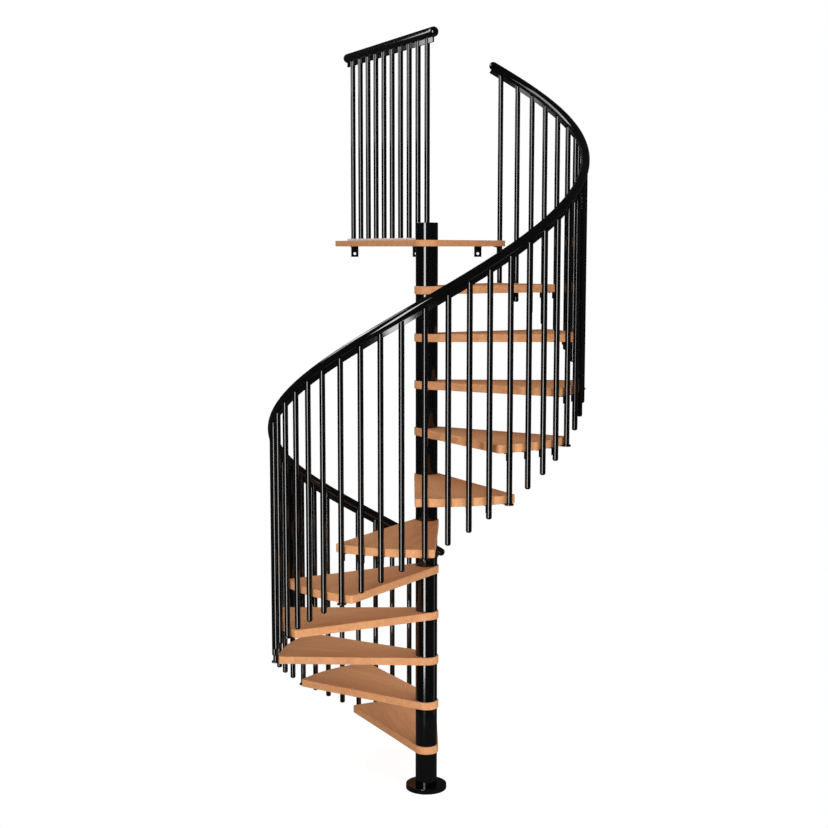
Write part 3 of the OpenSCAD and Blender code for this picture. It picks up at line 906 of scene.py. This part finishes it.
def pale_floor():
    """White floor that keeps the staircase's soft shadow and fades into the white surroundings"""
    material, tree = new_material("floor_matt_white")
    white = tint("#FFFFFF")
    place = add(tree, "ShaderNodeTexCoord").outputs["Object"]
    reach = add(tree, "ShaderNodeVectorMath", {0: place}, operation="LENGTH").outputs["Value"]
    fade = add(tree, "ShaderNodeMapRange", {"Value": reach, "From Min": FADE_FROM, "From Max": FADE_TO},
               interpolation_type="SMOOTHSTEP").outputs[0]
    rays = add(tree, "ShaderNodeLightPath").outputs
    seen = add(tree, "ShaderNodeMath", {0: rays["Is Camera Ray"], 1: rays["Is Transmission Ray"]},
               operation="MAXIMUM").outputs[0]
    matt = add(tree, "ShaderNodeBsdfDiffuse", {"Color": tint("#B4B4B4")}).outputs[0]
    lift = add(tree, "ShaderNodeMath", {0: seen, 1: FLOOR_GLOW}, operation="MULTIPLY").outputs[0]
    glow = add(tree, "ShaderNodeEmission", {"Color": white, "Strength": lift}).outputs[0]
    lit = add(tree, "ShaderNodeAddShader", {0: matt, 1: glow}).outputs[0]
    far = add(tree, "ShaderNodeEmission", {"Color": white, "Strength": seen}).outputs[0]
    mixed = add(tree, "ShaderNodeMixShader", {0: fade, 1: lit, 2: far}).outputs[0]
    # The gloss paint stays black near the floor, so its reflections see a dim floor
    dim = add(tree, "ShaderNodeEmission", {"Color": white, "Strength": FLOOR_IN_GLOSS}).outputs[0]
    above = add(tree, "ShaderNodeMixShader", {0: rays["Is Glossy Ray"], 1: mixed, 2: dim}).outputs[0]
    # From below it is clear, so that the undersides show
    below = add(tree, "ShaderNodeNewGeometry").outputs["Backfacing"]
    clear = add(tree, "ShaderNodeBsdfTransparent").outputs[0]
    whole = add(tree, "ShaderNodeMixShader", {0: below, 1: above, 2: clear}).outputs[0]
    add(tree, "ShaderNodeOutputMaterial", {"Surface": whole})
    return material


floor_mesh = turned("floor", [(FLOOR_R, 0), (0, 0)], FLOOR_SIDES)
floor_mesh.materials.append(pale_floor())
floor = bpy.data.objects.new("floor", floor_mesh)
floor.location.z = -FLOOR_DROP
bpy.context.collection.objects.link(floor)

# White all round for the eye, a dark room for the gloss, and for what is matt a soft light that
# grows from the horizon upwards and a little towards the right
WHITE = 1.0
DARK_ROOM = 0.03
SKY_LEVEL = 0.40
SKY_RISE = 0.81
SKY_RIGHT = 0.15

world = bpy.data.worlds.new("studio")
world.use_nodes = True
studio = world.node_tree
studio.nodes.clear()
around = add(studio, "ShaderNodeTexCoord").outputs["Generated"]
way = add(studio, "ShaderNodeSeparateXYZ", {0: around}).outputs
rays = add(studio, "ShaderNodeLightPath").outputs
clear_rays = add(studio, "ShaderNodeMath", {0: rays["Is Camera Ray"], 1: rays["Is Transmission Ray"]},
                 operation="MAXIMUM").outputs[0]
upward = add(studio, "ShaderNodeMath", {0: way["Z"], 1: 0.0}, operation="MAXIMUM").outputs[0]
dome_light = add(studio, "ShaderNodeMath", {0: upward, 1: SKY_RISE, 2: SKY_LEVEL},
                 operation="MULTIPLY_ADD").outputs[0]
sky = add(studio, "ShaderNodeMath", {0: way["X"], 1: SKY_RIGHT, 2: dome_light},
          operation="MULTIPLY_ADD").outputs[0]
soft = add(studio, "ShaderNodeMix", {0: rays["Is Glossy Ray"], 2: sky, 3: DARK_ROOM}).outputs[0]
level = add(studio, "ShaderNodeMix", {0: clear_rays, 2: soft, 3: WHITE}).outputs[0]
backdrop = add(studio, "ShaderNodeBackground", {"Color": tint("#FFFFFF"), "Strength": level}).outputs[0]
add(studio, "ShaderNodeOutputWorld", {0: backdrop})
bpy.context.scene.world = world


def panel(name, x, y, facing, low, high, width, radiance):
    """Upright soft panel at (x, y) from a low to a high edge, turned by facing degrees about z from
    looking along y, counter-clockwise from above"""
    lamp = bpy.data.lights.new(name, "AREA")
    lamp.shape, lamp.size, lamp.size_y = "RECTANGLE", width, high - low
    lamp.energy = radiance * math.pi * width * (high - low)
    stand = bpy.data.objects.new(name, lamp)
    stand.location = (x, y, (low + high) / 2)
    stand.rotation_euler = (math.radians(90), 0, math.radians(facing))
    stand.visible_camera = False
    bpy.context.collection.objects.link(stand)
    return stand


# Light only for what is matt: a narrow key from the left front and a wide fill from the right front
key = panel("key_panel", x=-1.49, y=-5.81, facing=-14.4, low=-1.3, high=3.3, width=0.8, radiance=19.0)
fill = panel("fill_panel", x=3.83, y=-3.21, facing=50.0, low=-0.5, high=3.0, width=2.0, radiance=3.2)
for light in (key, fill):
    light.visible_glossy = False

# Streaks only for the gloss: a tall panel far in front for the lines on the bars, a high window
# at the left for the rails and bands, brighter in its middle, and a faint panel low at the right
streaks = (
    panel("key_shine", x=-7.0, y=-18.75, facing=-20.3, low=-5.5, high=11.0, width=6.1, radiance=9.2),
    panel("window_low", x=-3.0, y=0.25, facing=-90.0, low=3.25, high=3.6, width=1.3, radiance=3.0),
    panel("window_shine", x=-3.0, y=1.15, facing=-90.0, low=3.6, high=6.3, width=3.1, radiance=3.0),
    panel("window_core", x=-2.98, y=1.15, facing=-90.0, low=4.3, high=4.9, width=3.1, radiance=6.0),
    panel("side_shine", x=5.0, y=0.2, facing=88.0, low=-3.0, high=0.1, width=1.0, radiance=0.6))
for light in streaks:
    light.visible_diffuse = False

# Camera as fitted to the photograph, its shifts measured in the photograph's pixels
PHOTO_SIDE = 828
CAMERA_AT = (0.0, -6.7147, 2.5523)
LOOK_DOWN = 7.0627
LOOK_LEFT = 0.5764
LENS_MM = 63.72
SENSOR_MM = 36.0
SHIFT_RIGHT = 2.02
SHIFT_UP = 14.72

camera = bpy.data.objects.new("camera", bpy.data.cameras.new("camera"))
camera.location = CAMERA_AT
camera.rotation_euler = (math.radians(90 - LOOK_DOWN), 0.0, math.radians(LOOK_LEFT))
camera.data.lens = LENS_MM
camera.data.sensor_width = SENSOR_MM
camera.data.shift_x = SHIFT_RIGHT / PHOTO_SIDE
camera.data.shift_y = SHIFT_UP / PHOTO_SIDE
bpy.context.collection.objects.link(camera)
bpy.context.scene.camera = camera
bpy.context.scene.view_settings.view_transform = "Standard"
